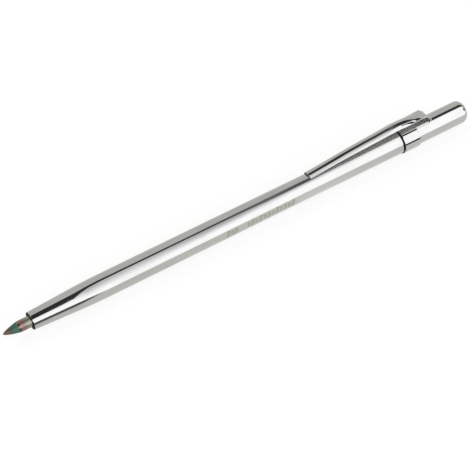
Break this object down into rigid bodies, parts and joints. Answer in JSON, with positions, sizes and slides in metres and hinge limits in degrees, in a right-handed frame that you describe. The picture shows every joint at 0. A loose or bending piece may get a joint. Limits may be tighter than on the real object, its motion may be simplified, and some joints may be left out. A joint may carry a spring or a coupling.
{
  "type": "lead holder",
  "caption": "Slim chromed push-button clutch holder with a tapered nose, spring pocket clip and a coated hard marking point.",
  "frame": {"origin": "on the barrel's axis, at the middle of its plain round grip", "axes": "+X along the pen towards the push button, -X to the point, +Z through the middle of the pocket clip"},
  "size_m": [0.1512, 0.0076, 0.0104],
  "materials": {
    "chrome_plate": "mirror plated",
    "brass": "turned",
    "collet_steel": "turned, darkened",
    "spring_steel": "drawn wire",
    "dark_washer": "blackened",
    "point_steel": "ground, heat tinted by the cone",
    "green_coat": "worn satin coat",
    "brown_tip": "ground, matt"
  },
  "bodies": {
    "barrel": {"barrel_tube": "chrome_plate", "front_guide": "brass", "return_spring": "spring_steel", "rear_bush": "brass", "lock_washer": "dark_washer", "clip_band": "chrome_plate", "neck_nut": "brass"},
    "plunger": {"push_button": "chrome_plate", "button_plug": "brass", "push_tube": "brass", "spring_collar": "brass", "collet_sleeve": "brass", "collet_root": "brass"},
    "clip": {"clip_arm": "chrome_plate"},
    "point": {"point_shank": "point_steel", "point_cone": "green_coat", "point_end": "brown_tip"},
    "finger_1": {"jaw_1": "collet_steel"},
    "finger_2": {"jaw_2": "collet_steel"},
    "finger_3": {"jaw_3": "collet_steel"},
    "finger_4": {"jaw_4": "collet_steel"}
  },
  "joints": [
    {"name": "button_press", "type": "slide", "parent": "barrel", "child": "plunger", "axis": [-1, 0, 0], "range_m": [0, 0.0035], "stiffness_N_per_m": 400, "springref_m": -0.008, "deforming": ["return_spring"]},
    {"name": "point_slide", "type": "slide", "parent": "plunger", "child": "point", "axis": [-1, 0, 0], "range_m": [-0.008, 0.012]},
    {"name": "clip_flex", "type": "hinge", "parent": "barrel", "child": "clip", "pos_m": [0.0749, 0, 0.0045], "axis": [0, 1, 0], "range_deg": [0, 3], "stiffness_Nm_per_rad": 3, "springref_deg": -1.15},
    {"name": "finger_1_spread", "type": "hinge", "parent": "plunger", "child": "finger_1", "pos_m": [-0.0368, -0.00122, 0.00122], "axis": [0, 0.7071, 0.7071], "range_deg": [0, 0.65]},
    {"name": "finger_2_spread", "type": "hinge", "parent": "plunger", "child": "finger_2", "pos_m": [-0.0368, -0.00122, -0.00122], "axis": [0, -0.7071, 0.7071], "range_deg": [0, 0.65]},
    {"name": "finger_3_spread", "type": "hinge", "parent": "plunger", "child": "finger_3", "pos_m": [-0.0368, 0.00122, -0.00122], "axis": [0, -0.7071, -0.7071], "range_deg": [0, 0.65]},
    {"name": "finger_4_spread", "type": "hinge", "parent": "plunger", "child": "finger_4", "pos_m": [-0.0368, 0.00122, 0.00122], "axis": [0, 0.7071, -0.7071], "range_deg": [0, 0.65]}
  ],
  "couplings": [
    {"joint": "finger_1_spread", "follows": "button_press", "rad_per_m": 3.05},
    {"joint": "finger_2_spread", "follows": "button_press", "rad_per_m": 3.05},
    {"joint": "finger_3_spread", "follows": "button_press", "rad_per_m": 3.05},
    {"joint": "finger_4_spread", "follows": "button_press", "rad_per_m": 3.05}
  ]
}
